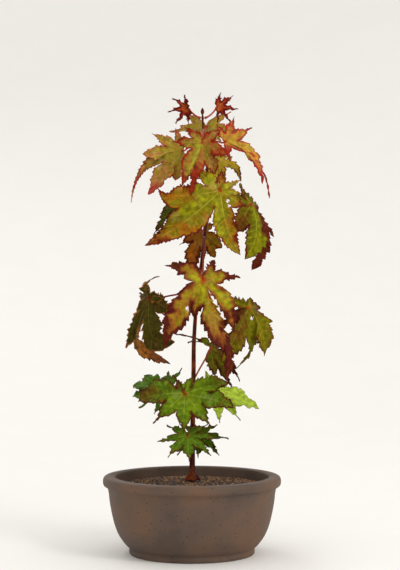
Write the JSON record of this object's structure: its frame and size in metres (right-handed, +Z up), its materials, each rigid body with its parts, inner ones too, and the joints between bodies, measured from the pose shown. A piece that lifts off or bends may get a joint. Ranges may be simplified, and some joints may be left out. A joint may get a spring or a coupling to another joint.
{
  "type": "japanese maple bonsai",
  "caption": "Slender young japanese maple in a plain round stoneware pot: a thin leaning stem with opposite pairs of large lobed, toothed leaves turning from green to red-brown.",
  "frame": {"origin": "centre of the pot's flat underside, on the surface that it stands on", "axes": "+Z up the stem, +Y away from the side that faces the viewer, +X to the right as seen from there"},
  "size_m": [0.116, 0.116, 0.2997],
  "materials": {
    "stoneware": "unglazed, matt dark brown",
    "soil": "granular, matt",
    "bark": "smooth young bark, satin",
    "leaf_green": "satin leaf",
    "leaf_bright_green": "satin leaf",
    "leaf_dark_green": "satin leaf",
    "leaf_turning": "satin leaf, yellow-green turning red-brown at its margins",
    "leaf_turning_green": "satin leaf, green turning maroon at its margins",
    "leaf_olive": "satin leaf",
    "leaf_rust": "satin leaf",
    "leaf_red": "satin leaf"
  },
  "bodies": {
    "root": {"pot": "stoneware", "soil": "soil", "trunk": "bark", "leaf_1_front": "leaf_green", "leaf_1_back": "leaf_green", "leaf_2_right": "leaf_bright_green", "leaf_2_left": "leaf_green", "leaf_3_front": "leaf_green", "leaf_3_back": "leaf_olive", "leaf_4_left": "leaf_dark_green", "leaf_4_right": "leaf_olive", "leaf_5_front": "leaf_turning", "leaf_5_back": "leaf_rust", "leaf_6_right": "leaf_turning_green", "leaf_6_left": "leaf_dark_green", "leaf_7_front": "leaf_turning", "leaf_7_back": "leaf_olive", "leaf_8_right": "leaf_red", "leaf_8_left": "leaf_turning", "leaf_9_front": "leaf_turning", "leaf_9_back": "leaf_turning_green", "leaf_10_left": "leaf_red", "leaf_10_right": "leaf_red"}
  },
  "joints": []
}
